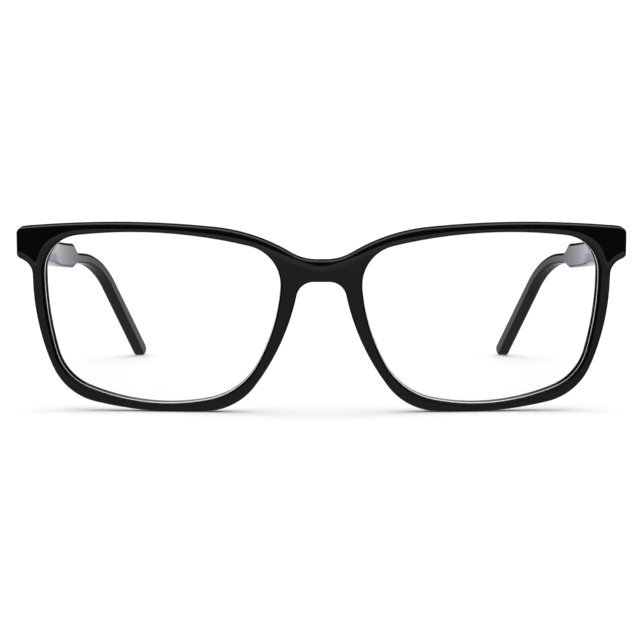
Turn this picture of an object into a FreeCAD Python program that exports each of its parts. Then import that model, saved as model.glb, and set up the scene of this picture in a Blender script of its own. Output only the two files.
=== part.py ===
import FreeCAD, Part
import os
import re
from math import atan2, cos, degrees, hypot, radians, sin, tan
from FreeCAD import Placement, Rotation, Vector

# Spectacles with a rectangular full-rim acetate front, clear plano lenses and sprung temples.
# X runs across the front, +Y from the front towards the temple tips and +Z up. The glasses stand
# open on both rims and both temple tips. Lengths are millimetres and angles are degrees. The
# wearer's left side, at +X, is drawn, and the right side is its mirror image.

doc = FreeCAD.newDocument("spectacles")
sheet = doc.addObject("Spreadsheet::Sheet", "sizes")

SIZES = {
    # How the front stands, and its bent sheet
    "front_lean": 4.0, "face_radius": 380.0, "front_thickness": 4.0,
    "stand_height": -0.123, "middle_depth": 65.878, "edge_round": 0.4,
    # Outline of one half of the front
    "bridge_under": 30.2, "bridge_over": 35.1, "bridge_under_round": 3.9, "bridge_over_round": 11.4,
    "nasal_x": 8.24, "nasal_z": 18.5, "nasal_heading": -68.3, "nasal_radius": 53.0,
    "nasal_round": 14.8,
    "foot_x": 32.6, "foot_radius": 93.6, "foot_round": 13.6,
    "temporal_x": 65.09, "temporal_z": 20.6, "temporal_heading": 78.4, "temporal_radius": 52.6,
    "endpiece_nook": 3.6, "endpiece_under_x": 68.73, "endpiece_under_z": 34.7,
    "endpiece_under_heading": 26.4, "endpiece_low_round": 1.2, "half_width": 69.73,
    "endpiece_top_round": 1.4, "top_x": 44.3, "top_z": 43.34, "top_radius": 211.0,
    "brow_round": 42.0, "brow_x": 9.07, "brow_z": 37.89, "brow_heading": 210.0,
    # Lens aperture
    "eye_bottom_x": 35.7, "eye_bottom_z": 2.0, "eye_bottom_radius": 49.3,
    "eye_outer_x": 63.26, "eye_outer_z": 31.7, "eye_outer_radius": 68.8,
    "eye_top_x": 41.7, "eye_top_z": 41.34, "eye_top_radius": 110.0,
    "eye_inner_x": 9.2, "eye_inner_z": 32.0, "eye_inner_radius": 43.0,
    "eye_low_outer_round": 12.0, "eye_high_outer_round": 8.6,
    "eye_high_inner_round": 9.1, "eye_low_inner_round": 16.5,
    # Lenses and their groove
    "lens_thickness": 1.8, "lens_setback": 1.1, "bevel_height": 0.6, "bevel_overhang": 0.05,
    "groove_play": 0.03,
    # Nose pads
    "pad_top": 26.5, "pad_bottom": 13.0, "pad_inset": 0.45, "pad_width": 2.2, "pad_reach": 4.6,
    "pad_end_round": 1.0, "pad_round": 0.9,
    # Hinge
    "hinge_x": 68.0, "hinge_depth": 9.6, "hinge_height": 37.6, "temple_slope": 5.26,
    "block_inner_x": 66.4, "block_margin": 2.0, "butt_gap": 0.05,
    "screw_inboard": 3.5, "knuckle_radius": 1.5, "screw_radius": 0.6, "running_play": 0.02,
    "eye_height": 1.9, "leaf_eye_height": 1.4, "screw_head_radius": 1.2,
    "screw_head_height": 0.6, "slot_width": 0.3, "slot_depth": 0.3, "screw_tail": 0.2,
    "web_width": 1.6, "web_sink": 0.3, "plate_gap": 1.75, "plate_depth": 2.0, "plate_width": 2.0,
    "plate_outboard": 0.2, "plate_margin": 0.5, "foot_width": 2.8, "foot_depth": 0.9,
    # Spring cartridge
    "stem_inboard": 1.5, "stem_radius": 0.45, "slider_width": 2.1, "slider_length": 3.0,
    "neck_start": 0.8, "neck_length": 1.2,
    "housing_start": 2.2, "housing_length": 14.5, "housing_width": 3.5,
    "housing_height": 4.2, "bore_radius": 1.1, "bore_start": 6.5, "bush_length": 1.2,
    "slot_play": 0.03, "neck_play": 0.15, "notch_margin": 1.0, "stem_length": 9.0,
    "spring_length": 5.5, "spring_turns": 9.0, "coil_radius": 0.75, "wire_radius": 0.12,
    "head_radius": 0.95, "head_length": 1.0,
    # Temple, along its own length from the butt joint
    "temple_thickness": 3.6, "tail_thickness": 2.7, "temple_height": 6.2, "butt_height": 5.7,
    "shoulder_start": 78.8, "shoulder_end": 82.6, "shoulder_round": 2.5, "neck_height": 2.66,
    "neck_drop": 0.5, "bend_start": 88.2, "bend_radius": 27.0, "drop_angle": 41.0,
    "drop_end": 126.982, "tip_width": 3.4, "tip_round": 1.6, "curve_start": 52.1,
    "curve_radius": 133.0, "tail_heading": 19.7, "temple_round": 0.7,
    "core_start": 18.5, "core_margin": 3.0, "core_width": 1.0, "core_height": 1.4,
}

# Allowances for blanks and cutters that run past the part
FAR = 20.0          # past any face
AHEAD = 2.0         # in front of the face
BELOW = 1.0         # under the rims
TALL = 60.0         # taller than the front
REACH = 80.0        # past either end of the front

TOLERANCE = 1e-3


def fill_sheet():
    for row, (name, value) in enumerate(SIZES.items(), start=1):
        sheet.set(f"A{row}", name)
        sheet.set(f"B{row}", str(value))
        sheet.setAlias(f"B{row}", name)
    doc.recompute()


def size(name):
    return float(sheet.get(name))


def bind(item, **expressions):
    """Ties properties to expressions of the sizes in the sheet."""
    for name, expression in expressions.items():
        known = re.sub(r"[a-z]\w*",
                       lambda word: f"sizes.{word[0]}" if word[0] in SIZES else word[0],
                       expression)
        item.setExpression(name, known)
    return item


def place(x="0", y="0", z="0", turn="0"):
    """A placement as an expression: a point, and a turn about the X axis."""
    return f"placement(vector({x}; {y}; {z}); rotation(vector(1; 0; 0); {turn}))"


def plane(body, role):
    """One of a body's own origin planes."""
    return next(item for item in body.Origin.OriginFeatures if item.Role == role)


def sketch_on(body, name, role, offset=0.0):
    """An empty sketch on one of the body's own origin planes, moved along that plane's normal."""
    sketch = body.newObject("Sketcher::SketchObject", name)
    sketch.AttachmentSupport = [(plane(body, role), "")]
    sketch.MapMode = "FlatFace"
    sketch.AttachmentOffset = Placement(Vector(0, 0, offset), Rotation())
    return sketch


def new_body(name):
    body = doc.addObject("PartDesign::Body", name)
    body.Label = name
    return body


def feature(body, kind, name, sketch, **settings):
    made = body.newObject(f"PartDesign::{kind}", name)
    made.Profile = sketch
    sketch.Visibility = False
    for key, value in settings.items():
        if isinstance(value, str):
            bind(made, **{key: value})
        else:
            setattr(made, key, value)
    doc.recompute()
    return made


# Outlines. An outline is a ring of sides, each a straight line or a circle that it runs along,
# joined by corner arcs that touch both neighbours. A side is (x, y, heading, radius): a point on
# it, the heading of travel there, and its radius, which is 0 for a straight side. The inside is
# on the left, and a negative corner radius turns the other way.

def line_side(x, y, heading):
    """A straight side."""
    return (x, y, heading, 0.0)


def side_centre(side, offset=0.0):
    x, y, heading, radius = side
    lean = radians(heading)
    reach = radius if radius else offset
    return Vector(x - sin(lean) * reach, y + cos(lean) * reach, 0)


def crossing(first, second, offset, near):
    """Where two sides, both moved to their left by the offset, cross nearest to a point."""
    straight = [side for side in (first, second) if not side[3]]
    if len(straight) == 2:
        start, other = side_centre(first, offset), side_centre(second, offset)
        a, b = radians(first[2]), radians(second[2])
        gap = other - start
        along = (gap.x * sin(b) - gap.y * cos(b)) / sin(b - a)
        return start + Vector(cos(a), sin(a), 0) * along
    if straight:
        line, ring = straight[0], second if straight[0] is first else first
        centre, reach = side_centre(ring), abs(ring[3] - offset)
        start = side_centre(line, offset)
        ahead = Vector(cos(radians(line[2])), sin(radians(line[2])), 0)
        foot = start + ahead * (centre - start).dot(ahead)
        half = max(reach ** 2 - (foot - centre).Length ** 2, 0.0) ** 0.5
        choices = [foot + ahead * half, foot - ahead * half]
    else:
        centre, other = side_centre(first), side_centre(second)
        reach, far = abs(first[3] - offset), abs(second[3] - offset)
        gap = other - centre
        along = (gap.Length ** 2 + reach ** 2 - far ** 2) / (2 * gap.Length)
        half = max(reach ** 2 - along ** 2, 0.0) ** 0.5
        unit = gap.normalize()
        square = Vector(-unit.y, unit.x, 0)
        choices = [centre + unit * along + square * half, centre + unit * along - square * half]
    return min(choices, key=lambda point: (point - near).Length)


def foot_on(side, point):
    if side[3]:
        centre = side_centre(side)
        return centre + (point - centre).normalize() * abs(side[3])
    start, lean = side_centre(side), radians(side[2])
    ahead = Vector(cos(lean), sin(lean), 0)
    return start + ahead * (point - start).dot(ahead)


def arc_edge(start, end, centre):
    """The shorter arc about a centre from one point to another."""
    middle = (start + end) / 2 - centre
    return Part.Arc(start, centre + middle.normalize() * (start - centre).Length, end)


def outline_edges(sides, rounds, start=None, end=None):
    """Lines and arcs round the ring, or along an open run of sides from start to end."""
    closed = start is None
    corners = []
    for index, rounding in enumerate(rounds):
        first, second = sides[index], sides[(index + 1) % len(sides)]
        middle = (Vector(first[0], first[1], 0) + Vector(second[0], second[1], 0)) / 2
        sharp = crossing(first, second, 0.0, middle)
        centre = crossing(first, second, rounding, sharp)
        corners.append((foot_on(first, centre), foot_on(second, centre), centre))
    edges = []
    for index, side in enumerate(sides):
        begin = start if not closed and index == 0 else corners[index - 1][1]
        finish = end if not closed and index == len(sides) - 1 else corners[index][0]
        if side[3]:
            edges.append(arc_edge(begin, finish, side_centre(side)))
        else:
            edges.append(Part.LineSegment(begin, finish))
        if index < len(corners) and rounds[index]:
            edges.append(arc_edge(*corners[index]))
    return edges


def redrawn(edges, move):
    """The same edges with all their points moved."""
    result = []
    for edge in edges:
        first, last = edge.FirstParameter, edge.LastParameter
        start, middle, end = [move(edge.value(at)) for at in (first, (first + last) / 2, last)]
        if isinstance(edge, Part.LineSegment):
            result.append(Part.LineSegment(start, end))
        else:
            result.append(Part.Arc(start, middle, end))
    return result


def mirrored(edges):
    """The same edges on the other side of x = 0."""
    return redrawn(edges, lambda point: Vector(-point.x, point.y, 0))


def swapped(edges):
    """The same edges with their two coordinates changed over."""
    return redrawn(edges, lambda point: Vector(point.y, point.x, 0))


def front_half_sides():
    sides = [
        line_side(0.0, size("bridge_under"), 0.0),
        (size("nasal_x"), size("nasal_z"), size("nasal_heading"), size("nasal_radius")),
        (size("foot_x"), 0.0, 0.0, size("foot_radius")),
        (size("temporal_x"), size("temporal_z"), size("temporal_heading"), size("temporal_radius")),
        line_side(size("endpiece_under_x"), size("endpiece_under_z"),
                  size("endpiece_under_heading")),
        line_side(size("half_width"), size("endpiece_under_z"), 90.0),
        (size("top_x"), size("top_z"), 180.0, size("top_radius")),
        line_side(size("brow_x"), size("brow_z"), size("brow_heading")),
        line_side(0.0, size("bridge_over"), 180.0),
    ]
    rounds = [
        -size("bridge_under_round"), size("nasal_round"), size("foot_round"),
        -size("endpiece_nook"), size("endpiece_low_round"), size("endpiece_top_round"),
        size("brow_round"), -size("bridge_over_round"),
    ]
    return sides, rounds


def eye_edges(grown=0.0):
    """One lens aperture, or the same outline grown outwards."""
    sides = []
    for name, heading in (("bottom", 0), ("outer", 90), ("top", 180), ("inner", 270)):
        out = Vector(sin(radians(heading)), -cos(radians(heading)), 0) * grown
        sides.append((size(f"eye_{name}_x") + out.x, size(f"eye_{name}_z") + out.y,
                      float(heading), size(f"eye_{name}_radius") + grown))
    rounds = [size(f"eye_{name}_round") + grown
              for name in ("low_outer", "high_outer", "high_inner", "low_inner")]
    return outline_edges(sides, rounds)


def circle_side(sketch, centre_y, radius, reach, far_y):
    """A closed region between an arc about (0, centre_y) and the straight line y = far_y."""
    drop = centre_y - (radius ** 2 - reach ** 2) ** 0.5
    left, right = Vector(-reach, drop, 0), Vector(reach, drop, 0)
    sketch.addGeometry(Part.Arc(left, Vector(0, centre_y - radius, 0), right), False)
    corner, other = Vector(reach, far_y, 0), Vector(-reach, far_y, 0)
    sketch.addGeometry([Part.LineSegment(right, corner), Part.LineSegment(corner, other),
                        Part.LineSegment(other, left)], False)


# Frames of reference. The front and lenses are drawn upright and lean back together. The temple
# and hinge are drawn about the hinge point, with +Y along the temple from the butt joint.

LEANING = place("0", "- middle_depth", "stand_height", "front_lean")
HUNG = place("hinge_x", "hinge_depth - middle_depth", "hinge_height + stand_height",
             "- temple_slope")


def pocket(body, name, sketch, **settings):
    """A pocket, which has to take something away."""
    made = feature(body, "Pocket", name, sketch, **settings)
    before = made.BaseFeature.Shape.Volume
    if made.Shape.Volume > before - TOLERANCE:
        raise SystemExit(f"{name} cuts nothing")
    return made


# Front

def make_front_blank():
    """The front before its grooves: a bent sheet with a block at each end for the hinge."""
    body = new_body("front_blank")
    outline = sketch_on(body, "front_outline", "XZ_Plane", AHEAD)
    sides, rounds = front_half_sides()
    half = outline_edges(sides, rounds, Vector(0, size("bridge_under"), 0),
                         Vector(0, size("bridge_over"), 0))
    for edges in (half, mirrored(half), eye_edges(), mirrored(eye_edges())):
        outline.addGeometry(edges, False)
    feature(body, "Pad", "front_slab", outline, Length=AHEAD + FAR, Reversed=True)

    face = sketch_on(body, "face_curve", "XY_Plane", -BELOW)
    radius = size("face_radius")
    circle_side(face, radius, radius, REACH, -FAR)
    pocket(body, "face_pocket", face, Length=TALL, Reversed=True)

    back = sketch_on(body, "back_curve", "XY_Plane", -BELOW)
    circle_side(back, radius, radius - size("front_thickness"), size("block_inner_x"), 2 * FAR)
    pocket(body, "back_pocket", back, Length=TALL, Reversed=True)

    butt = sketch_on(body, "butt_plane", "YZ_Plane", 0.0)
    butt.addGeometry(butt_cutter(), False)
    pocket(body, "butt_pocket", butt, Length=2 * REACH, Midplane=True)
    return body


def butt_cutter():
    """A region behind the plane where the end pieces meet the temples, seen from the side."""
    tilt = radians(size("front_lean") + size("temple_slope"))
    upright = Rotation(Vector(1, 0, 0), -size("front_lean"))
    hinge = upright.multVec(Vector(0, size("hinge_depth"), size("hinge_height")))
    middle = Vector(hinge.y, hinge.z, 0)
    up, out = Vector(sin(tilt), cos(tilt), 0), Vector(cos(tilt), -sin(tilt), 0)
    low, high = middle - up * size("temple_height"), middle + up * FAR
    corners = [low, low + out * FAR, high + out * FAR, high]
    return [Part.LineSegment(corners[index - 1], corners[index]) for index in range(4)]


def edges_where(shape, test):
    """Names of the edges whose points all pass a test."""
    names = []
    for number, edge in enumerate(shape.Edges, start=1):
        points = edge.discretize(5)
        if all(test(point) for point in points):
            names.append(f"Edge{number}")
    return names


def round_edges(body, name, base, edges, radius):
    """A fillet on the named edges of a feature, with its radius from the sheet."""
    made = body.newObject("PartDesign::Fillet", name)
    made.Base = (base, edges)
    bind(made, Radius=radius)
    doc.recompute()
    return made


def on_bend(radius, point):
    """Whether a point lies on the front's bent sheet at this radius."""
    return abs(hypot(point.x, point.y - size("face_radius")) - radius) < TOLERANCE


def round_front(body):
    """Softens the rims' edges, front and back."""
    slab = body.Tip
    radius = size("face_radius")
    names = edges_where(slab.Shape, lambda point: on_bend(radius, point))
    softened = round_edges(body, "face_edges", slab, names, "edge_round")
    back = radius - size("front_thickness")
    inner = size("block_inner_x") - size("block_margin")
    names = edges_where(softened.Shape,
                        lambda point: on_bend(back, point) and abs(point.x) < inner)
    round_edges(body, "back_edges", softened, names, "edge_round")


# Lenses

def make_lens_blank(name, play):
    """A lens, or the groove that holds it: a curved sheet with a V-shaped edge."""
    body = new_body(name)
    outline = sketch_on(body, f"{name}_outline", "XZ_Plane", AHEAD)
    outline.addGeometry(eye_edges(size("bevel_height") - play), False)
    feature(body, "Pad", f"{name}_slab", outline, Length=AHEAD + FAR, Reversed=True)

    radius = size("face_radius")
    front = radius - size("lens_setback") - play
    back = front - size("lens_thickness") + 2 * play
    face = sketch_on(body, f"{name}_face", "XY_Plane", -BELOW)
    circle_side(face, radius, front, REACH, -FAR)
    pocket(body, f"{name}_face_pocket", face, Length=TALL, Reversed=True)
    rear = sketch_on(body, f"{name}_rear", "XY_Plane", -BELOW)
    circle_side(rear, radius, back, REACH, 2 * FAR)
    made = pocket(body, f"{name}_rear_pocket", rear, Length=TALL, Reversed=True)

    names = edges_where(made.Shape, lambda point: on_bend(front, point) or on_bend(back, point))
    bevel = body.newObject("PartDesign::Chamfer", f"{name}_bevel")
    bevel.Base = (made, names)
    bind(bevel, Size="bevel_height + bevel_overhang")
    doc.recompute()
    return body


# Nose pads

def make_nose_pad():
    """A pad glued behind the nasal rim, drawn along the same curve as the rim's edge."""
    body = new_body("nose_pad_left")
    heading, radius = size("nasal_heading"), size("nasal_radius")
    start = Vector(size("nasal_x"), size("nasal_z"), 0)
    centre = side_centre((start.x, start.y, heading, radius))
    inward = (centre - start).normalize()
    near, far = size("pad_inset"), size("pad_inset") + size("pad_width")
    inner, outer = start + inward * near, start + inward * far

    def end_of_pad(height, turned):
        """A straight side across the pad, square to the rim's edge, at this height."""
        rise = centre.y - height
        run = (radius ** 2 - rise ** 2) ** 0.5
        return line_side(centre.x - run, height, degrees(atan2(rise, run)) + turned)

    sides = [
        (inner.x, inner.y, heading, radius - near),
        end_of_pad(size("pad_bottom"), 0.0),
        (outer.x, outer.y, heading + 180.0, far - radius),
        end_of_pad(size("pad_top"), 180.0),
    ]
    outline = sketch_on(body, "nose_pad_outline", "XZ_Plane")
    outline.addGeometry(outline_edges(sides, [size("pad_end_round")] * len(sides)), False)
    feature(body, "Pad", "nose_pad_block", outline, Reversed=True,
            Length="front_thickness + pad_reach")
    seat = sketch_on(body, "nose_pad_base", "XY_Plane")
    face = size("face_radius")
    circle_side(seat, face, face - size("front_thickness"), REACH, -FAR)
    made = pocket(body, "nose_pad_seat", seat, Length=TALL, Reversed=True)
    rear = size("front_thickness") + size("pad_reach")
    names = edges_where(made.Shape, lambda point: abs(point.y - rear) < TOLERANCE)
    round_edges(body, "nose_pad_round", made, names, "pad_round")
    return body


# Plain solids in the temple's frame. Their places and sizes are expressions of the sheet's sizes.

SCREW_X = "- screw_inboard"
STEM_X = "- stem_inboard"


def box(name, corner, lengths, frame=""):
    """A block from its lowest corner and its three lengths."""
    item = doc.addObject("Part::Box", name)
    length, width, height = lengths
    return bind(item, Placement=frame + place(*corner), Length=length, Width=width,
                Height=height)


def upright_rod(name, bottom, radius, height):
    """A cylinder on the hinge screw's axis."""
    item = doc.addObject("Part::Cylinder", name)
    return bind(item, Placement=place(SCREW_X, "0", bottom), Radius=radius, Height=height)


def lengthwise_rod(name, start, radius, length):
    """A cylinder on the spring's axis, which runs along the temple."""
    item = doc.addObject("Part::Cylinder", name)
    return bind(item, Placement=place(STEM_X, start, "0", "-90"), Radius=radius, Height=length)


def fused(name, pieces):
    item = doc.addObject("Part::MultiFuse", name)
    item.Shapes = pieces
    item.Refine = True
    return item


def cut_away(name, base, tools):
    """A base piece without the tools, which are taken together."""
    tool = tools[0]
    if len(tools) > 1:
        tool = doc.addObject("Part::Compound", f"{name}_tools")
        tool.Links = tools
    item = doc.addObject("Part::Cut", name)
    item.Base, item.Tool = base, tool
    return item


# Hinge: two eyes on the front's leaf, the slider's eye between them, and one screw

EYE_TOP = "eye_height / 2 + running_play"
LEAF_TOP = EYE_TOP + " + leaf_eye_height"


def make_front_leaf():
    """The leaf sunk into the front: a foot inside the acetate, a plate and two eyes on webs."""
    pieces = []
    for side, bottom in (("upper", EYE_TOP), ("lower", f"- ({LEAF_TOP})")):
        pieces.append(upright_rod(f"leaf_{side}_eye", bottom, "knuckle_radius",
                                  "leaf_eye_height"))
        corner = (f"{SCREW_X} - web_width / 2", "- plate_gap - web_sink", bottom)
        pieces.append(box(f"leaf_{side}_web", corner,
                          ("web_width", "plate_gap + web_sink", "leaf_eye_height")))
    plate_x, plate_y = f"{SCREW_X} - plate_outboard", "- plate_gap - plate_depth"
    pieces.append(box("leaf_plate", (plate_x, plate_y, f"- ({LEAF_TOP}) - plate_margin"),
                      ("plate_width", "plate_depth", f"2 * ({LEAF_TOP} + plate_margin)")))
    pieces.append(box("leaf_foot", (plate_x, f"{plate_y} - foot_depth", f"- ({LEAF_TOP})"),
                      ("foot_width", "foot_depth", f"2 * ({LEAF_TOP})")))
    holes = [
        upright_rod("leaf_upper_hole", "0", "screw_radius + running_play", "temple_height"),
        upright_rod("leaf_lower_hole", "- temple_height", "screw_radius", "temple_height"),
    ]
    item = cut_away("hinge_leaf_left", fused("leaf_body", pieces), holes)
    return bind(item, Placement=HUNG)


def make_screw():
    """A slotted screw from the upper eye down into the lower one."""
    shaft = upright_rod("screw_shaft", f"- ({LEAF_TOP}) - screw_tail", "screw_radius",
                        f"2 * ({LEAF_TOP}) + screw_tail")
    head = upright_rod("screw_head", LEAF_TOP, "screw_head_radius", "screw_head_height")
    corner = (f"{SCREW_X} - screw_head_radius", "- slot_width / 2",
              f"{LEAF_TOP} + screw_head_height - slot_depth")
    slot = box("screw_slot", corner, ("2 * screw_head_radius", "slot_width", "slot_depth"))
    item = cut_away("hinge_screw_left", fused("screw_body", [shaft, head]), [slot])
    return bind(item, Placement=HUNG)


def make_slider():
    """The temple's eye, with a neck into the housing and a stem for the spring."""
    under = "- eye_height / 2"
    eye = upright_rod("slider_eye", under, "knuckle_radius", "eye_height")
    neck = box("slider_neck", (SCREW_X, "neck_start", under),
               ("screw_inboard - stem_inboard", "neck_length", "eye_height"))
    guide_end = "housing_start + slider_length"
    guide = box("slider_guide", (f"{STEM_X} - slider_width / 2", "neck_start", under),
                ("slider_width", f"{guide_end} - neck_start", "eye_height"))
    stem = lengthwise_rod("slider_stem", guide_end, "stem_radius", "stem_length")
    hole = upright_rod("slider_hole", "- eye_height", "screw_radius + running_play",
                       "2 * eye_height")
    item = cut_away("hinge_slider_left", fused("slider_body", [eye, neck, guide, stem]), [hole])
    return bind(item, Placement=HUNG)


HOUSING_CORNER = (f"{STEM_X} - housing_width / 2", "housing_start", "- housing_height / 2")
HOUSING_LENGTHS = ("housing_width", "housing_length", "housing_height")


def make_housing():
    """The spring's box, sunk into the temple's inner face and open at both ends."""
    shell = box("housing_shell", HOUSING_CORNER, HOUSING_LENGTHS)
    corner = (f"{STEM_X} - slider_width / 2 - slot_play", "housing_start",
              "- eye_height / 2 - slot_play")
    slot = box("housing_slot", corner, ("slider_width + 2 * slot_play",
                                        "bore_start - housing_start",
                                        "eye_height + 2 * slot_play"))
    bore = lengthwise_rod("housing_bore", "bore_start", "bore_radius", "housing_length")
    return bind(cut_away("hinge_housing_left", shell, [slot, bore]), Placement=HUNG)


def make_ring(name, start, outer, inner, length):
    """A ring on the spring's axis."""
    body = lengthwise_rod(f"{name}_body", start, outer, length)
    hole = lengthwise_rod(f"{name}_hole", start, inner, length)
    return bind(cut_away(name, body, [hole]), Placement=HUNG)


def make_spring():
    """The compression spring on the stem, between the bush and the stem's end cap."""
    helix = doc.addObject("Part::Helix", "spring_line")
    height = "spring_length - 2 * wire_radius"
    bind(helix, Radius="coil_radius", Pitch=f"({height}) / spring_turns", Height=height)
    wire = doc.addObject("Part::Circle", "spring_wire")
    bind(wire, Radius="wire_radius", Placement=place("coil_radius", turn="90"))
    item = doc.addObject("Part::Sweep", "hinge_spring_left")
    item.Sections, item.Spine = [wire], (helix, [])
    item.Solid, item.Frenet = True, True
    start = "bore_start + bush_length + wire_radius"
    return bind(item, Placement=f"{HUNG} * {place(STEM_X, start, '0', '-90')}")


# Temples. Each rod is the overlap of a side view, in (y, z), and a top view, in (y, x).

def make_rod(name, side_ring, top_ring):
    """The solid that fills both views."""
    views = []
    for view, role, ring in (("side", "YZ_Plane", side_ring), ("top", "XY_Plane", top_ring)):
        body = new_body(f"{name}_{view}")
        outline = sketch_on(body, f"{name}_{view}_outline", role)
        edges = outline_edges(*ring)
        outline.addGeometry(swapped(edges) if view == "top" else edges, False)
        feature(body, "Pad", f"{name}_{view}_pad", outline, Length=2 * REACH, Midplane=True)
        views.append(body)
    item = doc.addObject("Part::MultiCommon", name)
    item.Shapes = views
    doc.recompute()
    return item


def drop_point(across):
    """A point at the temple's end, this far above the middle of the drop."""
    lean = radians(size("drop_angle"))
    bend = size("bend_start") + size("bend_radius") * tan(lean / 2)
    along = size("drop_end") - bend
    low = size("neck_drop") + along * tan(lean)
    return bend + along + sin(lean) * across, cos(lean) * across - low


def side_ring(wide, butt, neck, tip, start, shortened=0.0):
    """The side view, from half heights at the wide part, the butt, the neck and the tip."""
    drop, radius, bend = size("drop_angle"), size("bend_radius"), size("bend_start")
    lean, offset = radians(drop), size("neck_drop")
    splay = degrees(atan2(tip - neck, (size("drop_end") - bend) / cos(lean)))
    low, high, end = drop_point(-tip), drop_point(tip), drop_point(0.0)
    sides = [
        line_side(bend, -neck - offset, 0.0),
        line_side(*low, -drop - splay),
        line_side(end[0] - cos(lean) * shortened, end[1] + sin(lean) * shortened, 90.0 - drop),
        line_side(*high, 180.0 - drop + splay),
        line_side(bend, neck - offset, 180.0),
        line_side(start, 0.0, 270.0),
    ]
    if wide == neck:
        return sides, [neck - radius, 0.0, 0.0, radius + neck, 0.0, 0.0]

    near, far = size("shoulder_start"), size("shoulder_end")
    slope = degrees(atan2(wide - butt, near))
    under, over = [degrees(atan2(wide - neck - shift, far - near)) for shift in (offset, -offset)]
    below = [line_side(start, -butt, -slope), line_side(near, -wide, under)]
    above = [line_side(near, wide, 180.0 - over), line_side(start, butt, 180.0 + slope)]
    turn, tip_round = size("shoulder_round"), size("tip_round")
    rounds = [turn, -turn, neck - radius, tip_round, tip_round, radius + neck, -turn, turn,
              0.0, 0.0]
    return below + sides[:-1] + above + sides[-1:], rounds


def top_ring(wide, tail, start):
    """The top view, from half thicknesses at the hinge and at the tip."""
    heading, radius = size("tail_heading"), size("curve_radius")
    lean = radians(heading)
    along = size("drop_end") - size("curve_start") - radius * tan(lean / 2)
    end = Vector(size("drop_end"), -along * tan(lean), 0)
    across = Vector(sin(lean), cos(lean), 0) * tail
    inner, outer = end - across, end + across
    past = end + Vector(cos(lean), -sin(lean), 0) * FAR
    taper = degrees(atan2(wide - tail, size("drop_end")))
    sides = [
        line_side(start, -wide, taper),
        line_side(inner.x, inner.y, -heading + taper),
        line_side(past.x, past.y, 90.0 - heading),
        line_side(outer.x, outer.y, 180.0 - heading - taper),
        line_side(start, wide, 180.0 - taper),
        line_side(start, 0.0, 270.0),
    ]
    return sides, [wide - radius, 0.0, 0.0, radius + wide, 0.0, 0.0]


def make_core_wire():
    """The wire inside the temple, from behind the housing almost to the tip."""
    half, across = size("core_height") / 2, size("core_width") / 2
    side = side_ring(half, half, half, half, size("core_start"), size("core_margin"))
    item = make_rod("temple_core_left", side, top_ring(across, across, size("core_start")))
    return bind(item, Placement=HUNG)


def middle_of(face):
    low_u, high_u, low_v, high_v = face.ParameterRange
    return (low_u + high_u) / 2, (low_v + high_v) / 2


def is_rail(edge, blank):
    """Whether an edge is one of the temple's long edges, where a side view meets the top view."""
    faces = blank.ancestorsOfType(edge, Part.Face)
    upright = [abs(face.normalAt(*middle_of(face)).z) < TOLERANCE for face in faces]
    behind_butt = edge.BoundBox.YMin > size("butt_gap") - TOLERANCE
    return upright.count(True) == 1 and behind_butt and edge.Length > size("butt_gap")


def make_temple(core):
    """The acetate temple, with its pocket for the housing, a notch for the neck and its core."""
    side = side_ring(size("temple_height") / 2, size("butt_height") / 2, size("neck_height") / 2,
                     size("tip_width") / 2, size("butt_gap"))
    top = top_ring(size("temple_thickness") / 2, size("tail_thickness") / 2, size("butt_gap"))
    blank = make_rod("temple_blank", side, top)
    rounding = size("temple_round")
    rounded = doc.addObject("Part::Fillet", "temple_rounded")
    rounded.Base = blank
    rounded.Edges = [(number, rounding, rounding)
                     for number, edge in enumerate(blank.Shape.Edges, start=1)
                     if is_rail(edge, blank.Shape)]
    bind(rounded, Placement=HUNG)

    cavity = box("housing_pocket", HOUSING_CORNER, HOUSING_LENGTHS, f"{HUNG} * ")
    corner = ("- temple_thickness / 2 - notch_margin", "0", "- eye_height / 2 - neck_play")
    width = "temple_thickness / 2 + notch_margin - stem_inboard + slider_width / 2 + neck_play"
    notch = box("neck_notch", corner, (width, "housing_start", "eye_height + 2 * neck_play"),
                f"{HUNG} * ")
    return cut_away("temple_left", rounded, [cavity, notch, core])


# The whole pair of glasses

def mirror_image(item, name):
    """The right-hand twin of a left-hand piece."""
    twin = doc.addObject("Part::Mirroring", name)
    twin.Source = item
    twin.Base, twin.Normal = Vector(), Vector(1, 0, 0)
    return twin


def make_left_side():
    """Every piece of the left side, and the groove that its lens needs in the front."""
    lens = bind(make_lens_blank("lens_left", size("groove_play")), Placement=LEANING)
    groove = bind(make_lens_blank("lens_groove_left", 0.0), Placement=LEANING)
    pad = bind(make_nose_pad(), Placement=LEANING)
    core = make_core_wire()
    bush = make_ring("spring_bush_left", "bore_start", "bore_radius", "stem_radius + slot_play",
                     "bush_length")
    cap = make_ring("spring_cap_left", "bore_start + bush_length + spring_length", "head_radius",
                    "stem_radius", "head_length")
    pieces = [lens, pad, make_front_leaf(), make_screw(), make_slider(), make_housing(), bush,
              make_spring(), cap, core, make_temple(core)]
    return pieces, groove


def make_front(grooves, leaves):
    """The acetate front, with the lens grooves and the leaves' seats cut into it."""
    blank = make_front_blank()
    round_front(blank)
    bind(blank, Placement=LEANING)
    return cut_away("front_frame", blank, grooves + leaves)


def check_document():
    for item in doc.Objects:
        if "Invalid" in item.State or "Error" in item.State:
            raise SystemExit(f"{item.Name} failed: {item.getStatusString()}")


def write_parts(parts):
    for item in parts:
        if item.Shape.isNull() or not item.Shape.isValid():
            raise SystemExit(f"{item.Label} has no valid shape")
    os.makedirs("parts", exist_ok=True)
    for item in parts:
        item.Shape.exportStep(f"parts/{item.Label}.step")


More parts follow.
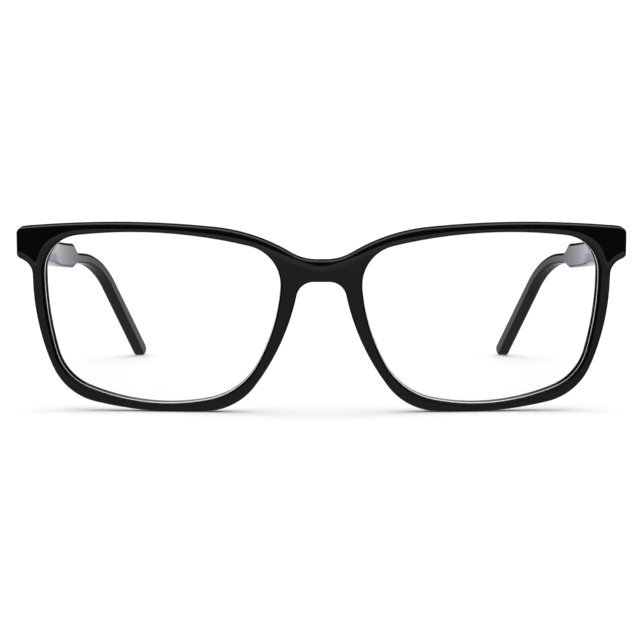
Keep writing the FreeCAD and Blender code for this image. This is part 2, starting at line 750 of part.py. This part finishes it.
fill_sheet()
left_pieces, left_groove = make_left_side()
doc.recompute()
right_pieces = [mirror_image(item, item.Label.replace("_left", "_right")) for item in left_pieces]
right_groove = mirror_image(left_groove, "lens_groove_right")
hinge_leaves = [item for item in left_pieces + right_pieces if item.Label.startswith("hinge_leaf")]
front = make_front([left_groove, right_groove], hinge_leaves)
doc.recompute()
check_document()
write_parts([front] + left_pieces + right_pieces)
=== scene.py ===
from math import cos, radians, sin, sqrt

import bmesh
import bpy
import numpy as np
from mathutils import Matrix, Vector, geometry


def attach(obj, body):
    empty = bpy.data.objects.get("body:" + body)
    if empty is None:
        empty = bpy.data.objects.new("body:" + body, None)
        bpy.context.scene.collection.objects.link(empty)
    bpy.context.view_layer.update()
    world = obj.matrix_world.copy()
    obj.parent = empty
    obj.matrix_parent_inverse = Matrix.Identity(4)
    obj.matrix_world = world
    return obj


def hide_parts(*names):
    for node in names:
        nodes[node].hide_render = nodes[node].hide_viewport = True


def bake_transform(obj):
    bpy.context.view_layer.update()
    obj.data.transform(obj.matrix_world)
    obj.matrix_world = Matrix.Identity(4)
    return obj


# Spectacles with a black acetate front and temples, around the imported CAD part. Lengths are in
# metres, but the front is drawn again in its own frame, (x, depth, height) in millimetres: it
# leans with the front, and depth runs from the face to the rear.

MM = 0.001
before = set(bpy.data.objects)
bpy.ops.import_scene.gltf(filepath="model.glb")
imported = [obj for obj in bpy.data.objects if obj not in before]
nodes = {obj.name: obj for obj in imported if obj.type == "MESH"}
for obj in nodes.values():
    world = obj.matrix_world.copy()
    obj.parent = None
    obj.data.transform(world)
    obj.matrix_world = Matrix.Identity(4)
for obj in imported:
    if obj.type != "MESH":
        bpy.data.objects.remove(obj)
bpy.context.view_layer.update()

LEAN = radians(4.0)             # how far the front leans
FRONT_BASE = np.array([0.0, -0.065878, -0.000123])      # where the front's own frame begins
FACE_RADIUS = 380.0             # the bent front's radius
FRONT_THICKNESS = 4.0
FILLET = 0.4                    # the rims' rounded edges
EDGE_DEPTH = 3 * FILLET         # what lies no deeper goes back with the rims' faces

# The line where the polished brow plate drops to the satin rims, from the end piece's side to
# the point between rim and end piece, and from there over the eye to the bridge: (x, height).
CREASE_UNDER = [(69.90, 36.50), (69.30, 36.45), (68.60, 36.30), (68.06, 36.02), (67.37, 35.64),
                (66.74, 35.13), (66.11, 34.55), (65.67, 34.17), (65.35, 34.01)]
CREASE_OVER = [(65.35, 34.01), (64.95, 34.62), (64.57, 35.71), (64.00, 37.03), (63.46, 37.88),
               (62.69, 38.81), (61.75, 39.52), (60.49, 40.24), (58.96, 40.89), (57.40, 41.31),
               (55.85, 41.60), (54.33, 41.76), (52.78, 41.88), (49.55, 42.01), (45.41, 42.09),
               (39.91, 42.10), (37.16, 42.05), (34.42, 41.94), (31.68, 41.79), (28.95, 41.55),
               (26.21, 41.28), (23.48, 40.93), (20.76, 40.50), (17.87, 39.93), (16.44, 39.58),
               (15.01, 39.15), (13.56, 38.64), (12.13, 38.05), (10.70, 37.42), (9.24, 36.80),
               (8.25, 36.40), (7.38, 36.05), (6.39, 35.65), (4.93, 35.10), (3.50, 34.63),
               (2.07, 34.20), (1.0, 33.97), (0.0, 33.90)]
CREASE_STEP = 0.3               # how finely the crease is drawn
PLATE_STEP = 0.30               # how far the rims lie behind the brow plate
PLATE_RAMP = 1.6                # over what width
PLATE_TOP = [(-75.0, 36.5), (-75.0, 60.0), (75.0, 60.0), (75.0, 36.5)]  # beyond the front

# The end pieces, which hold the hinges, begin here, and the walls' shift fades towards them.
LEAF_X, LEAF_HEIGHT, LEAF_FADE = 62.5, 33.0, 3.0
SHIFT_DEPTH = 4.2               # deeper points shift no further
EYE_REACH = 2.0                 # so far round the eyes the walls shift in any case
EYE_MIDDLE = (36.7, 22.0)       # an eye's (x, height)
EYE_HALF = (26.6, 20.0)         # half its width and height
FLARE_SIDE = 0.38               # how far the eye's front edge flares, to the temple and down
FLARE_DOWN = 0.33
FLARE_REACH = 3.0               # how far round the eyes
END_SLOPE = 0.55                # how far the end pieces' tops fall behind the front
END_DEPTH = 4.0                 # over what depth
END_TOP, END_FADE = 40.0, 2.0   # what counts as a top, and over what height that begins

WELD = 3e-7                     # metres between points that are one
ON_FACE = 3e-3                  # how far from the face a point may lie and still be on it
EDGE_STEP = 0.5                 # the face's edges are cut about so long
EDGE_GAP = 0.12                 # the crease stops so far short of them
GRID_STEP = 0.36                # the face's points lie so far apart
GRID_ROW = 0.866                # a row of even triangles, for a side of 1
GRID_GAP = 0.2                  # they keep so far from the edges and the crease
GRID_FROM, GRID_TO = (-70.2, -1.0), (70.3, 45.0)        # (x, height) round the front
SAWN_FROM, SAWN_TO = 0.35, 3.93         # the depth of the eyes' sawn walls
SAWN_REACH = 0.9                # how far from the eyes' front edges they lie
REAR_EDGE = 3.55                # the rear edges begin here, everywhere round the front
CORNER_PULL = 0.02              # a corner's normal is taken so far inside its triangle

POLISHED, SATIN, SAWN = 0, 1, 2         # the front's material slots


def spline_points(points, step):
    """A smooth line through the points, sampled about every step."""
    made = []
    ends = [points[0]] + list(points) + [points[-1]]
    for i in range(1, len(ends) - 2):
        a, b, c, d = (np.array(p) for p in ends[i - 1:i + 3])
        count = max(1, round(float(np.linalg.norm(c - b)) / step))
        for k in range(count):
            t = k / count
            made.append(0.5 * (2 * b + (c - a) * t + (2 * a - 5 * b + 4 * c - d) * t * t
                               + (3 * b - a - 3 * c + d) * t ** 3))
    made.append(np.array(points[-1]))
    return made


def to_front(co):
    """Metres in the row's frame to the front's own millimetres."""
    q = (co - FRONT_BASE) / MM
    depth = q[:, 1] * cos(LEAN) + q[:, 2] * sin(LEAN)
    height = q[:, 2] * cos(LEAN) - q[:, 1] * sin(LEAN)
    return np.stack([q[:, 0], depth, height], 1)


def from_front(x, depth, height):
    """The front's own millimetres to metres in the row's frame."""
    y = depth * cos(LEAN) - height * sin(LEAN)
    z = depth * sin(LEAN) + height * cos(LEAN)
    return Vector((FRONT_BASE[0] + x * MM, FRONT_BASE[1] + y * MM, FRONT_BASE[2] + z * MM))


def places(verts):
    """The vertices in the front's own frame."""
    return to_front(np.array([v.co for v in verts]))


def under_face(local):
    """How far points of the front lie under its bent face."""
    return FACE_RADIUS - np.hypot(local[:, 0], local[:, 1] - FACE_RADIUS)


def move(verts, local, out, fall):
    """Moves each vertex across and down by its share."""
    for v, (x, depth, height), across, low in zip(verts, local, out, fall):
        if across or low:
            v.co = from_front(x + across, depth, height - low)


def inside(points, loops):
    """Whether points lie inside the loops, by the even-odd rule. Loops are lists of segments."""
    hit = np.zeros(len(points), bool)
    for (ax, ay), (bx, by) in loops:
        if ay == by:
            continue
        crosses = (points[:, 1] < max(ay, by)) & (points[:, 1] >= min(ay, by))
        at = ax + (points[:, 1] - ay) * (bx - ax) / (by - ay)
        hit ^= crosses & (points[:, 0] < at)
    return hit


def nearest(points, segments):
    """How far each point is from the nearest segment, and the way straight from it."""
    best = np.full(len(points), 1e9)
    way = np.zeros((len(points), 2))
    for a, b in segments:
        a, b = np.array(a), np.array(b)
        ahead = b - a
        t = np.clip(((points - a) @ ahead) / max(float(ahead @ ahead), 1e-12), 0, 1)
        gap = points - a - t[:, None] * ahead
        far = np.linalg.norm(gap, axis=1)
        closer = far < best
        best[closer] = far[closer]
        way[closer] = gap[closer] / np.maximum(far[closer], 1e-9)[:, None]
    return best, way


def distance(points, segments):
    """How far each point is from the nearest segment."""
    return nearest(points, segments)[0]


half_crease = spline_points(CREASE_UNDER, CREASE_STEP)[:-1]
half_crease += spline_points(CREASE_OVER, CREASE_STEP)
crease = [(float(x), float(h)) for x, h in half_crease]
crease += [(-x, h) for x, h in reversed(crease[:-1])]
crease_segments = list(zip(crease[:-1], crease[1:]))
plate_corners = [crease[-1]] + PLATE_TOP + [crease[0]]
plate = crease_segments + list(zip(plate_corners[:-1], plate_corners[1:]))


def step_back(points):
    """How far the face lies behind the brow plate at these (x, height) points."""
    share = np.clip(distance(points, crease_segments) / PLATE_RAMP, 0, 1)
    return np.where(inside(points, plate), 0.0, PLATE_STEP * (1 - (1 - share) ** 2))


def face_normals(points, lowered):
    """Outward normals of the face at (x, height) points, on the plate or on the lowered part."""
    gap, way = nearest(points, crease_segments)
    steep = 2 * PLATE_STEP / PLATE_RAMP * np.clip(1 - gap / PLATE_RAMP, 0, 1) * lowered
    bend = points[:, 0] / np.sqrt(FACE_RADIUS ** 2 - points[:, 0] ** 2)
    normal = np.stack([bend + steep * way[:, 0], -np.ones(len(points)), steep * way[:, 1]], 1)
    normal /= np.linalg.norm(normal, axis=1)[:, None]
    y = normal[:, 1] * cos(LEAN) - normal[:, 2] * sin(LEAN)
    z = normal[:, 1] * sin(LEAN) + normal[:, 2] * cos(LEAN)
    return np.stack([normal[:, 0], y, z], 1)


def flare_eyes(verts, eyes):
    """Flares the eyes' front edges towards the temples and down."""
    local = places(verts)
    under = np.clip(under_face(local), 0, FRONT_THICKNESS)
    near = np.clip(1 - distance(local[:, [0, 2]], eyes) / FLARE_REACH, 0, 1) ** 2
    across = np.clip((np.abs(local[:, 0]) - EYE_MIDDLE[0]) / EYE_HALF[0], 0, 1) ** 3
    down = np.clip((EYE_MIDDLE[1] - local[:, 2]) / EYE_HALF[1], 0, 1) ** 3
    out = FLARE_SIDE * np.sign(local[:, 0]) * across * near
    fall = FLARE_DOWN * down * near * (1 - under / FRONT_THICKNESS)
    move(verts, local, out, fall)


def bend_walls(verts, eyes):
    """Squares the walls to the bent face, as in a front that was bent after it was cut: what lies
    further back moves towards the bend's centre. The end pieces, with the hinges, stay."""
    local = places(verts)
    under = np.clip(under_face(local), 0, SHIFT_DEPTH)
    inner = np.clip((LEAF_X - np.abs(local[:, 0])) / LEAF_FADE, 0, 1)
    lower = np.clip((LEAF_HEIGHT - local[:, 2]) / LEAF_FADE, 0, 1)
    by_eye = np.clip(EYE_REACH - distance(local[:, [0, 2]], eyes), 0, 1)
    share = np.maximum(np.maximum(inner, lower), by_eye)
    move(verts, local, -local[:, 0] * under / FACE_RADIUS * share, np.zeros(len(verts)))


def slope_ends(verts):
    """Slopes the tops of the end pieces down towards the temples."""
    local = places(verts)
    behind = np.clip((under_face(local) - FRONT_THICKNESS) / END_DEPTH, 0, 1)
    high = np.clip((local[:, 2] - END_TOP) / END_FADE, 0, 1)
    move(verts, local, np.zeros(len(verts)), END_SLOPE * behind * high)


def lower_edges(verts):
    """Takes the rounded edges and the walls' first points back with the lowered face."""
    local = places(verts)
    share = np.clip(1 - under_face(local) / EDGE_DEPTH, 0, 1)
    near = np.nonzero(share > 0)[0]
    drop = step_back(local[near][:, [0, 2]]) * share[near]
    for k, back in zip(near, drop):
        x, depth, h = local[k]
        verts[k].co = from_front(x, depth + back, h)


def closed_runs(edges):
    """The edges sorted into connected runs, the shortest first."""
    left, runs = dict.fromkeys(edges), []
    while left:
        run, todo = [], [left.popitem()[0]]
        while todo:
            edge = todo.pop()
            run.append(edge)
            for other in (e for v in edge.verts for e in v.link_edges):
                if other in left:
                    del left[other]
                    todo.append(other)
        runs.append(run)
    return sorted(runs, key=len)


def open_edges(bm):
    """The edges that have a face on one side only."""
    return [e for e in bm.edges if len(e.link_faces) == 1]


def without_face(source):
    """The front's mesh without its face, its layer of corner normals, and the cut open edges."""
    bm = bmesh.new()
    bm.from_mesh(source.data)
    shade = bm.loops.layers.float_vector.new("shade")
    given = iter(source.data.corner_normals)
    for f in bm.faces:
        for corner in f.loops:
            corner[shade] = next(given).vector
    bmesh.ops.remove_doubles(bm, verts=bm.verts, dist=WELD)
    on_face = np.abs(under_face(places(bm.verts))) < ON_FACE
    bm.verts.index_update()
    face = [f for f in bm.faces if all(on_face[v.index] for v in f.verts)]
    bmesh.ops.delete(bm, geom=face, context="FACES")
    for e in open_edges(bm):
        cuts = int(e.calc_length() / (EDGE_STEP * MM))
        if cuts:
            bmesh.ops.subdivide_edges(bm, edges=[e], cuts=cuts)
    return bm, shade, open_edges(bm)


def grid_points(loops):
    """Rows of points over the face, clear of its edges and of the crease."""
    xs, hs = np.meshgrid(np.arange(GRID_FROM[0], GRID_TO[0], GRID_STEP),
                         np.arange(GRID_FROM[1], GRID_TO[1], GRID_STEP * GRID_ROW))
    xs = xs + (np.arange(hs.shape[0]) % 2)[:, None] * GRID_STEP / 2
    grid = np.stack([xs.ravel(), hs.ravel()], 1)
    grid = grid[inside(grid, loops)]
    grid = grid[distance(grid, loops) > GRID_GAP]
    return grid[distance(grid, crease_segments) > GRID_GAP]


def face_triangles(flat, edges, loops):
    """Triangles over the face that follow its edges and the crease: (x, height) points, corners,
    and the given points that each of the points stands on."""
    line = np.array(crease)
    line = line[inside(line, loops) & (distance(line, loops) > EDGE_GAP)]
    ends = [int(np.argmin(np.linalg.norm(flat - tip, axis=1))) for tip in (line[0], line[-1])]
    coords = [Vector(p) for p in (*flat, *line, *grid_points(loops))]
    first, last = len(flat), len(flat) + len(line) - 1
    lines = edges + [(i, i + 1) for i in range(first, last)]
    lines += [(ends[0], first), (last, ends[1])]
    points, _, corners, origin, _, _ = geometry.delaunay_2d_cdt(coords, lines, [], 0, 1e-6, True)
    return np.array([tuple(p) for p in points]), corners, origin


def mark_walls(bm, eyes):
    """Gives the eyes' walls and the rear edges the sawn finish, and all else the polished one."""
    middles = to_front(np.array([f.calc_center_median() for f in bm.faces]))
    under = under_face(middles)
    sawn = (under > SAWN_FROM) & (distance(middles[:, [0, 2]], eyes) < SAWN_REACH)
    sawn = (sawn | (under > REAR_EDGE)) & (under < SAWN_TO)
    for face, rough in zip(bm.faces, sawn):
        face.material_index = SAWN if rough else POLISHED


def add_face(bm, shade, verts, points, triangles, loops):
    """Adds the face's triangles that lie inside its edges, with the true face's normals."""
    middles = np.array([points[list(t)].mean(0) for t in triangles])
    wanted, on_plate = inside(middles, loops), inside(middles, plate)
    corners_made, spots, low = [], [], []
    for t, ok, bright, middle in zip(triangles, wanted, on_plate, middles):
        corners = [verts[i] for i in t]
        if not ok or len(set(corners)) < 3 or bm.faces.get(corners):
            continue
        face = bm.faces.new(corners)
        face.normal_update()
        if face.normal.y > 0:
            face.normal_flip()
        face.material_index = POLISHED if bright else SATIN
        where = {v: points[i] for v, i in zip(corners, t)}
        for corner in face.loops:
            corners_made.append(corner)
            spots.append(where[corner.vert] * (1 - CORNER_PULL) + middle * CORNER_PULL)
            low.append(not bright)
    for corner, normal in zip(corners_made, face_normals(np.array(spots), np.array(low))):
        corner[shade] = normal


def build_front(source):
    """The front with its face drawn again, so that the rims lie behind the brow plate."""
    bm, shade, rim = without_face(source)
    rim_verts = list(dict.fromkeys(v for e in rim for v in e.verts))
    place = {v: i for i, v in enumerate(rim_verts)}
    edges = [(place[e.verts[0]], place[e.verts[1]]) for e in rim]
    flat = places(rim_verts)[:, [0, 2]]
    loops = [(tuple(flat[a]), tuple(flat[b])) for a, b in edges]
    eyes = [loops[rim.index(e)] for run in closed_runs(rim)[:-1] for e in run]
    points, triangles, origin = face_triangles(flat, edges, loops)

    old = list(bm.verts)
    verts = []
    for (x, h), ids, back in zip(points, origin, step_back(points)):
        on_rim = [k for k in ids if k < len(rim_verts)]
        if on_rim:
            verts.append(rim_verts[on_rim[0]])
        else:
            depth = FACE_RADIUS - sqrt(FACE_RADIUS ** 2 - x * x) + back
            verts.append(bm.verts.new(from_front(x, depth, h)))
    lower_edges(old)
    mark_walls(bm, eyes)
    everywhere = list(bm.verts)
    lowest = min(v.co.z for v in everywhere)
    flare_eyes(everywhere, eyes)
    bend_walls(everywhere, eyes)
    slope_ends(everywhere)
    for v in everywhere:
        v.co.z = max(v.co.z, lowest)
    add_face(bm, shade, verts, points, triangles, loops)

    for f in bm.faces:
        f.smooth = True
    shading = [Vector(corner[shade]).normalized() for f in bm.faces for corner in f.loops]
    mesh = bpy.data.meshes.new("front_shell")
    bm.to_mesh(mesh)
    bm.free()
    mesh.attributes.remove(mesh.attributes["shade"])
    mesh.normals_split_custom_set(shading)
    made = bpy.data.objects.new("front_shell", mesh)
    bpy.context.scene.collection.objects.link(made)
    return made


# Materials

WHITE = (1.0, 1.0, 1.0, 1.0)
ACETATE_IOR = 1.49
MIRROR_LEAST, MIRROR_MOST = 0.037, 0.9      # how much a lens mirrors, seen square and at a slant
BEVEL_FROM, BEVEL_TO = 0.84, 0.88           # faces of a lens more oblique than this are its bevel
MIX_A, MIX_B, MIX_RESULT = 6, 7, 2          # a Mix node's colour sockets


def new_material(name):
    """A new material and its empty node tree."""
    made = bpy.data.materials.new(name)
    made.use_nodes = True
    tree = made.node_tree
    tree.nodes.clear()
    return made, tree


def node(tree, kind, links=(), **settings):
    """A node with its own settings; a link is (input, output socket) and a value is set on it."""
    made = tree.nodes.new(kind)
    for key, value in settings.items():
        setattr(made, key, value)
    for name, value in dict(links).items():
        socket = made.inputs[name]
        if isinstance(value, bpy.types.NodeSocket):
            tree.links.new(value, socket)
        else:
            socket.default_value = value
    return made


def ramp(tree, value, stops):
    """A value turned into a grey or a colour by stops of (value, grey or colour)."""
    made = node(tree, "ShaderNodeValToRGB", {"Fac": value})
    line = made.color_ramp
    line.elements.remove(line.elements[1])
    for index, (at, colour) in enumerate(stops):
        element = line.elements.new(at) if index else line.elements[0]
        element.position = at
        grey = (colour,) * 3 if isinstance(colour, (int, float)) else colour
        element.color = (*grey, 1.0)
    return made.outputs["Color"]


def spread(tree, value, low, high, start=0.0, end=1.0):
    """A value from 0 to 1 stretched to low to high."""
    made = node(tree, "ShaderNodeMapRange", {"Value": value, "From Min": start, "From Max": end,
                                             "To Min": low, "To Max": high})
    return made.outputs["Result"]


def noise(tree, place, scale, **inputs):
    """Noise with about scale cells to the metre."""
    made = node(tree, "ShaderNodeTexNoise", {"Vector": place, "Scale": scale, **inputs})
    return made.outputs["Fac"]


def objects_place(tree):
    """Where a point lies on its object, in metres."""
    return node(tree, "ShaderNodeTexCoord").outputs["Object"]


def acetate(name, rough, shades, tumble=1.0, level=0.5):
    """Black cellulose acetate: faint clouds in the sheet, polishing haze and hairline scratches."""
    made, tree = new_material(name)
    place = objects_place(tree)
    dark, pale = shades
    cloud = noise(tree, place, 90.0, Detail=4.0, Roughness=0.6)
    haze = noise(tree, place, 420.0, Detail=3.0)
    colour = ramp(tree, cloud, [(0.3, (dark, dark, 1.1 * dark)), (0.7, (pale, 0.97 * pale, pale))])
    turned = node(tree, "ShaderNodeMapping", {"Vector": place, "Scale": (260.0, 260.0, 9000.0),
                                              "Rotation": (0.35, 0.2, 0.1)})
    hair = noise(tree, turned.outputs["Vector"], 1.0, Detail=2.0)
    line = spread(tree, hair, 0.0, 1.0, 0.68, 0.8)
    base = spread(tree, haze, *rough, 0.3, 0.7)
    both = node(tree, "ShaderNodeMath", {0: line, 1: 0.05, 2: base}, operation="MULTIPLY_ADD")
    peel = noise(tree, place, 700.0, Detail=2.0)
    bump = node(tree, "ShaderNodeBump", {"Strength": 0.06 * tumble, "Distance": 0.00003,
                                         "Height": peel})
    shader = node(tree, "ShaderNodeBsdfPrincipled",
                  {"Base Color": colour, "Roughness": both.outputs[0], "IOR": ACETATE_IOR,
                   "Specular IOR Level": level, "Normal": bump.outputs["Normal"]})
    node(tree, "ShaderNodeOutputMaterial", {"Surface": shader.outputs[0]})
    return made


def clear_lens(name):
    """A thin clear lens: it mirrors a little, more at a slant, with a few faint wipe marks. Its
    ground bevel is milky and lets light through from inside."""
    made, tree = new_material(name)
    place = objects_place(tree)
    slant = node(tree, "ShaderNodeLayerWeight", {"Blend": 0.5}).outputs["Facing"]
    power = node(tree, "ShaderNodeMath", {0: slant, 1: 5.0}, operation="POWER")
    mirror = spread(tree, power.outputs[0], MIRROR_LEAST, MIRROR_MOST)
    smear = noise(tree, place, 60.0, Detail=5.0, Distortion=1.2)
    rough = spread(tree, smear, 0.0, 0.06, 0.45, 0.8)
    clear = node(tree, "ShaderNodeBsdfTransparent", {"Color": (0.992, 0.996, 0.995, 1.0)})
    gloss = node(tree, "ShaderNodeBsdfGlossy", {"Color": WHITE, "Roughness": rough})
    faces = node(tree, "ShaderNodeMixShader", {0: mirror, 1: clear.outputs[0],
                                               2: gloss.outputs[0]})
    facing = node(tree, "ShaderNodeSeparateXYZ",
                  {0: node(tree, "ShaderNodeTexCoord").outputs["Normal"]}).outputs["Y"]
    square = node(tree, "ShaderNodeMath", {0: facing}, operation="ABSOLUTE").outputs[0]
    bevel = spread(tree, square, 1.0, 0.0, BEVEL_FROM, BEVEL_TO)
    grit = noise(tree, place, 1500.0, Detail=2.0)
    pale = ramp(tree, grit, [(0.3, 0.85), (0.7, 0.95)])
    lit = node(tree, "ShaderNodeBsdfDiffuse", {"Color": pale}).outputs[0]
    glow = node(tree, "ShaderNodeBsdfTranslucent", {"Color": pale}).outputs[0]
    ground = node(tree, "ShaderNodeMixShader", {0: 0.95, 1: lit, 2: glow})
    whole = node(tree, "ShaderNodeMixShader", {0: bevel, 1: faces.outputs[0],
                                               2: ground.outputs[0]})
    node(tree, "ShaderNodeOutputMaterial", {"Surface": whole.outputs[0]})
    return made


def metal(name, colour, rough, grain, scale):
    """Worked metal: fine tool marks along one direction and darker spots in the finish."""
    made, tree = new_material(name)
    place = objects_place(tree)
    turned = node(tree, "ShaderNodeMapping", {"Vector": place, "Scale": scale})
    marks = noise(tree, turned.outputs["Vector"], grain, Detail=3.0)
    spots = noise(tree, place, 900.0, Detail=2.0)
    dull = tuple(0.75 * c for c in colour)
    tint = ramp(tree, spots, [(0.35, dull), (0.6, colour)])
    value = spread(tree, marks, rough * 0.7, rough * 1.5, 0.3, 0.7)
    bump = node(tree, "ShaderNodeBump", {"Strength": 0.25, "Distance": 0.00002, "Height": marks})
    shader = node(tree, "ShaderNodeBsdfPrincipled",
                  {"Base Color": tint, "Metallic": 1.0, "Roughness": value,
                   "Normal": bump.outputs["Normal"]})
    node(tree, "ShaderNodeOutputMaterial", {"Surface": shader.outputs[0]})
    return made


polished = acetate("acetate_polished", (0.05, 0.10), (0.0011, 0.0022))
satin = acetate("acetate_satin", (0.28, 0.34), (0.0082, 0.0108), tumble=2.0)
sawn = acetate("acetate_groove", (0.45, 0.60), (0.0008, 0.0016), tumble=4.0, level=0.04)
arm = acetate("acetate_temple", (0.13, 0.18), (0.0018, 0.0030))
lens_clear = clear_lens("lens_clear")
nickel = metal("nickel_satin", (0.62, 0.61, 0.57), 0.3, 400.0, (1.0, 8.0, 1.0))
steel = metal("steel_bright", (0.7, 0.7, 0.72), 0.18, 600.0, (1.0, 1.0, 10.0))
brass = metal("brass_turned", (0.72, 0.56, 0.27), 0.25, 600.0, (1.0, 12.0, 1.0))

BY_SLOT = {"black_acetate": polished, "clear_lens": lens_clear, "nickel_silver": nickel,
           "steel": steel, "brass": brass}
for item in nodes.values():
    for slot in item.material_slots:
        slot.material = BY_SLOT[slot.material.name.split(".")[0]]
for name in ("temple_left", "temple_right"):
    for slot in nodes[name].material_slots:
        slot.material = arm

# The front's new shell and the springs

front = build_front(nodes["front_frame"])
for material in (polished, satin, sawn):        # in the order of their slots
    front.data.materials.append(material)
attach(front, "front")
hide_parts("front_frame")


# Each hinge spring is pressed between its bush, in the temple, and the cap on the slider's stem. It
# is copied as it stands into a coil of its own, and the CAD spring is hidden.
for side in ("left", "right"):
    source = nodes["hinge_spring_" + side]
    coil = bpy.data.objects.new("coil_" + side, source.data.copy())
    bpy.context.scene.collection.objects.link(coil)
    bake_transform(coil)
    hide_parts("hinge_spring_" + side)

# Floor, surroundings and light

FLOOR = 2.5                     # half the floor's side
LIGHT = 1.15                    # the surroundings' strength
SOFTBOX_SIDES = (1.2, 0.9)
SOFTBOX_POWER = 2.8
SOFTBOX_PLACE = (0.0, 0.15, 1.1)

# What gloss mirrors, from straight down (0) over the horizon (0.5) to straight up (1), towards
# the front and towards the temples. It turns from one to the other at TURN, along Y.
LILAC = (1.06, 1.04, 1.13)
AHEAD = [(0.0, 0.3), (0.24, 0.33), (0.34, 0.05), (0.40, 0.02), (0.72, 0.02), (0.80, 0.9),
         (1.0, 1.0)]
BEHIND = [(0.0, 0.3), (0.32, 0.45), (0.44, LILAC), (0.498, LILAC), (0.515, 0.03), (0.72, 0.03),
          (0.80, 0.9), (1.0, 1.0)]
TURN = (0.35, 0.95)

floor_mesh = bpy.data.meshes.new("floor")
floor_mesh.from_pydata([(-FLOOR, -FLOOR, 0), (FLOOR, -FLOOR, 0), (FLOOR, FLOOR, 0),
                        (-FLOOR, FLOOR, 0)], [], [(0, 1, 2, 3)])
floor = bpy.data.objects.new("floor", floor_mesh)
bpy.context.scene.collection.objects.link(floor)
paper, tree = new_material("floor_paper")
fibre = noise(tree, objects_place(tree), 900.0, Detail=3.0)
tint = ramp(tree, fibre, [(0.3, 0.86), (0.7, 0.9)])
shader = node(tree, "ShaderNodeBsdfDiffuse", {"Color": tint})
node(tree, "ShaderNodeOutputMaterial", {"Surface": shader.outputs[0]})
floor_mesh.materials.append(paper)
floor.visible_glossy = False

world = bpy.data.worlds.new("studio")
bpy.context.scene.world = world
world.use_nodes = True
tree = world.node_tree
tree.nodes.clear()
way = node(tree, "ShaderNodeSeparateXYZ",
           {0: node(tree, "ShaderNodeTexCoord").outputs["Generated"]})
rise = spread(tree, way.outputs["Z"], 0.0, 1.0, -1.0, 1.0)
back = spread(tree, way.outputs["Y"], 0.0, 1.0, *TURN)
studio = node(tree, "ShaderNodeMix", {"Factor": back, MIX_A: ramp(tree, rise, AHEAD),
                                      MIX_B: ramp(tree, rise, BEHIND)}, data_type="RGBA")
path = node(tree, "ShaderNodeLightPath")        # all but gloss sees plain white
seen = node(tree, "ShaderNodeMix", {"Factor": path.outputs["Is Glossy Ray"], MIX_A: WHITE,
                                    MIX_B: studio.outputs[MIX_RESULT]}, data_type="RGBA")
background = node(tree, "ShaderNodeBackground",
                  {"Color": seen.outputs[MIX_RESULT], "Strength": LIGHT})
node(tree, "ShaderNodeOutputWorld", {"Surface": background.outputs[0]})

lamp = bpy.data.lights.new("softbox", "AREA")
lamp.shape, lamp.energy = "RECTANGLE", SOFTBOX_POWER
lamp.size, lamp.size_y = SOFTBOX_SIDES
softbox = bpy.data.objects.new("softbox", lamp)
softbox.location = SOFTBOX_PLACE
bpy.context.scene.collection.objects.link(softbox)

# Camera

SENSOR = 36.0                   # the film's width in millimetres
VIEW_WIDTH = 640.0 / 2838.0     # the view's width at a distance of 1
CAMERA_PLACE = (-0.00033, -0.709818, 0.0779)
CAMERA_DIP = 5.024              # degrees below the horizon

lens_data = bpy.data.cameras.new("camera")
camera = bpy.data.objects.new("camera", lens_data)
bpy.context.scene.collection.objects.link(camera)
lens_data.sensor_width = SENSOR
lens_data.lens = SENSOR / VIEW_WIDTH
lens_data.clip_start = 0.01
lens_data.clip_end = 20.0
camera.location = CAMERA_PLACE
camera.rotation_euler = (radians(90.0 - CAMERA_DIP), 0.0, 0.0)
bpy.context.scene.camera = camera
bpy.context.scene.view_settings.view_transform = "Standard"
